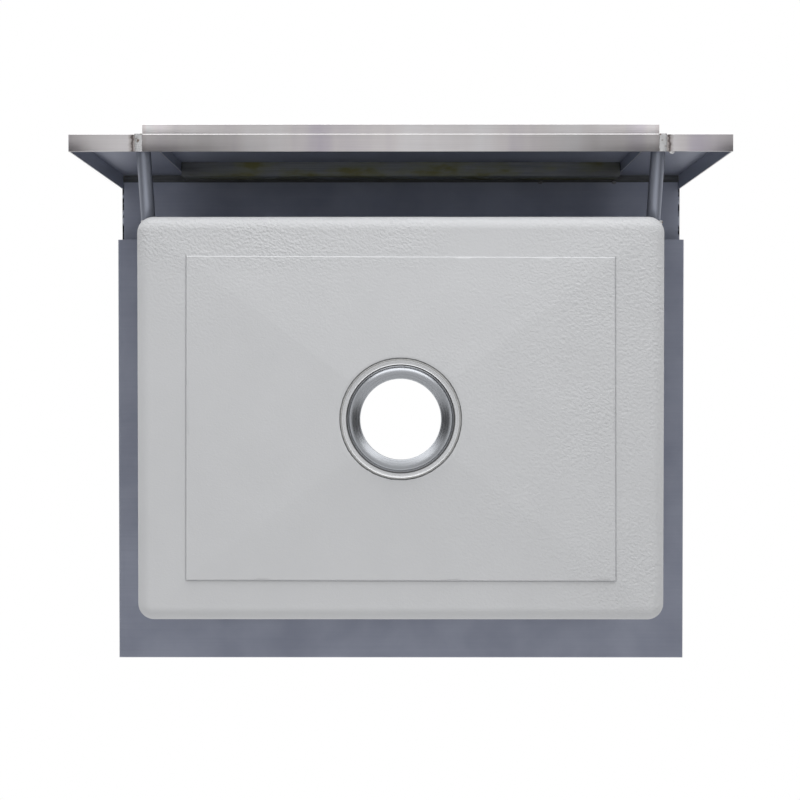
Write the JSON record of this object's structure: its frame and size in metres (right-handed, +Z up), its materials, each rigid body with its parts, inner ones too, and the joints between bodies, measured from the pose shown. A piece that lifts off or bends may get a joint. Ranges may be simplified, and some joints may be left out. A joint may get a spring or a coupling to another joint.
{
  "type": "mop service sink",
  "caption": "Apron-front mop service sink folded and welded from stainless sheet, with a deep square bowl, centre drain ring, sound coat and braced apron.",
  "frame": {"origin": "centre of the drain hole, on the underside of the drain ring's lip", "axes": "+X to the right along the apron, -Y out through the apron's face, +Z up"},
  "size_m": [0.74, 0.65, 0.26],
  "materials": {
    "stainless_sheet": "brushed",
    "polished_ring": "polished",
    "strut_bar": "drawn",
    "weld_bead": "ground weld",
    "sound_coat": "sprayed, orange peel",
    "rubber_pad": "plain",
    "glued_board": "raw board with glue"
  },
  "bodies": {
    "root": {"deck": "stainless_sheet", "bowl": "stainless_sheet", "drain_ring": "polished_ring", "bottom_pad": "rubber_pad", "sound_coat": "sound_coat", "apron_panel": "stainless_sheet", "apron_board": "glued_board", "apron_left_wing": "stainless_sheet", "apron_right_wing": "stainless_sheet", "apron_bottom_rail": "stainless_sheet", "left_strut": "strut_bar", "right_strut": "strut_bar", "left_seam_weld": "weld_bead", "right_seam_weld": "weld_bead"}
  },
  "joints": []
}
